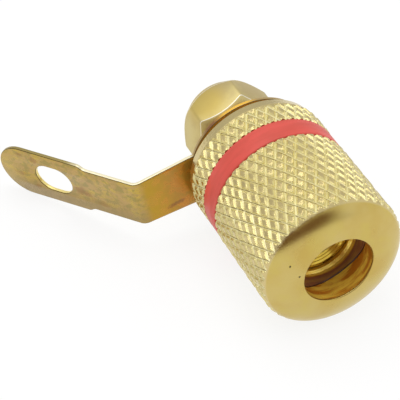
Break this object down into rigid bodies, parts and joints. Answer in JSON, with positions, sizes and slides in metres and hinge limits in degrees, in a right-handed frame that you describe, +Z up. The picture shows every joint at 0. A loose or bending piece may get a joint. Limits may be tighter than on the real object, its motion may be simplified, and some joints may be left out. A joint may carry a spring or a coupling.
{
  "type": "banana socket binding post",
  "caption": "Screw-down binding post: domed, diamond-knurled metal cap with a banana socket in its end, a red ring, a bent solder lug and a hex nut on the rear stud.",
  "frame": {"origin": "on the axis, in the rear face of the post's flange, where the lug and a panel are clamped", "axes": "the axis is level along Y with the mouth of the socket towards -Y and the stud towards +Y; +Z is up; the lug reaches out towards -X"},
  "size_m": [0.0248, 0.0282, 0.0126],
  "materials": {
    "cap_gold": "satin gold plate",
    "ring_red": "satin",
    "post_gold": "bright gold plate",
    "lug_gold": "thin gold plate with brown stains",
    "nut_gold": "satin gold plate"
  },
  "bodies": {
    "post": {"post": "post_gold", "solder_lug": "lug_gold", "hex_nut": "nut_gold"},
    "ring": {"color_ring": "ring_red"},
    "cap": {"knurled_cap": "cap_gold"}
  },
  "joints": [
    {"name": "ring_slide", "type": "slide", "parent": "post", "child": "ring", "axis": [0, -1, 0], "range_m": [0, 0.004]},
    {"name": "cap_turn", "type": "hinge", "parent": "ring", "child": "cap", "pos_m": [0, 0, 0], "axis": [0, -1, 0], "range_deg": [0, 1440]}
  ],
  "couplings": [
    {"joint": "ring_slide", "follows": "cap_turn", "m_per_rad": 0.00015915}
  ]
}
